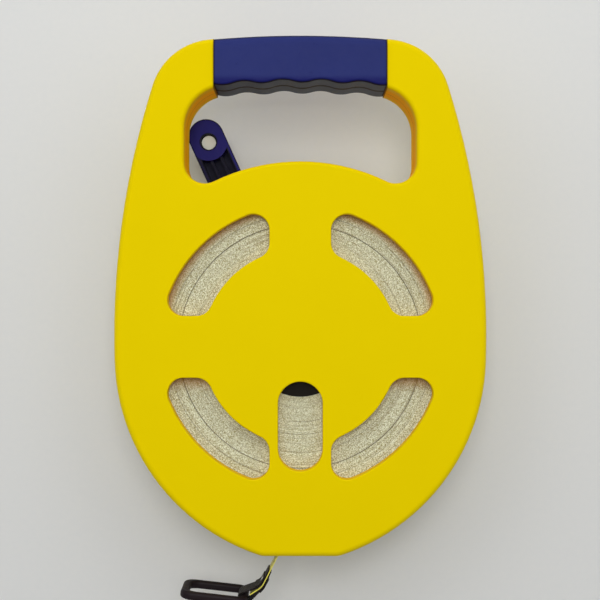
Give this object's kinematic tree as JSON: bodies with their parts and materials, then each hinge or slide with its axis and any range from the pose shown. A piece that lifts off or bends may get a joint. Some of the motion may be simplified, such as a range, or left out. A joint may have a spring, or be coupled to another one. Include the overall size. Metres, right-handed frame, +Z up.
{
  "type": "long measuring tape reel",
  "caption": "Closed-case long measuring tape reel: hand grip, windowed case, drum with wound tape, rear winding crank with turning knob, and a pull ring on the tape's end.",
  "frame": {"origin": "middle of the carrying grip", "axes": "+Z up through the grip from the reel, -Y out of the front face, +X to the right seen from the front; the crank is on the +Y side"},
  "size_m": [0.187, 0.0721, 0.2877],
  "materials": {
    "case_yellow": "satin moulded",
    "grip_blue": "satin moulded",
    "crank_blue": "satin moulded",
    "black_plastic": "moulded",
    "acetal_white": "turned",
    "screw_steel": "zinc plated",
    "insert_brass": "turned",
    "tape_edge": "coated glass fibre",
    "tape_yellow": "coated glass fibre",
    "strap_black": "reinforced",
    "ring_black": "moulded"
  },
  "bodies": {
    "case": {"front_shell": "case_yellow", "rear_shell": "case_yellow", "grip_front": "grip_blue", "grip_rear": "grip_blue", "case_screws": "screw_steel", "grip_screws": "screw_steel", "front_washer": "acetal_white", "rear_bush": "black_plastic", "mouth_guide": "black_plastic", "tape_lead": "tape_yellow", "end_strap": "strap_black", "end_doubler_outer": "strap_black", "end_doubler_inner": "strap_black", "end_rivets": "screw_steel"},
    "drum": {"drum": "black_plastic", "tape_coil": "tape_edge", "tape_anchor": "screw_steel", "crank_arm": "crank_blue", "crank_screw": "screw_steel", "crank_washer": "screw_steel", "crank_cap": "crank_blue", "thrust_washer": "acetal_white", "drum_insert": "insert_brass", "knob_axle": "acetal_white", "knob_washer": "acetal_white", "knob_screw": "screw_steel"},
    "knob": {"knob": "crank_blue", "knob_cap": "crank_blue"},
    "end_ring": {"end_ring": "ring_black"}
  },
  "joints": [
    {"name": "drum_spin", "type": "hinge", "parent": "case", "child": "drum", "pos_m": [0, 0, -0.143], "axis": [0, 1, 0], "continuous": true},
    {"name": "knob_spin", "type": "hinge", "parent": "drum", "child": "knob", "pos_m": [-0.04862, 0.04, -0.03581], "axis": [0, 1, 0], "continuous": true},
    {"name": "ring_swing", "type": "hinge", "parent": "case", "child": "end_ring", "pos_m": [-0.02854, -0.0015, -0.27083], "axis": [0, 1, 0], "range_deg": [-180, 45]}
  ]
}
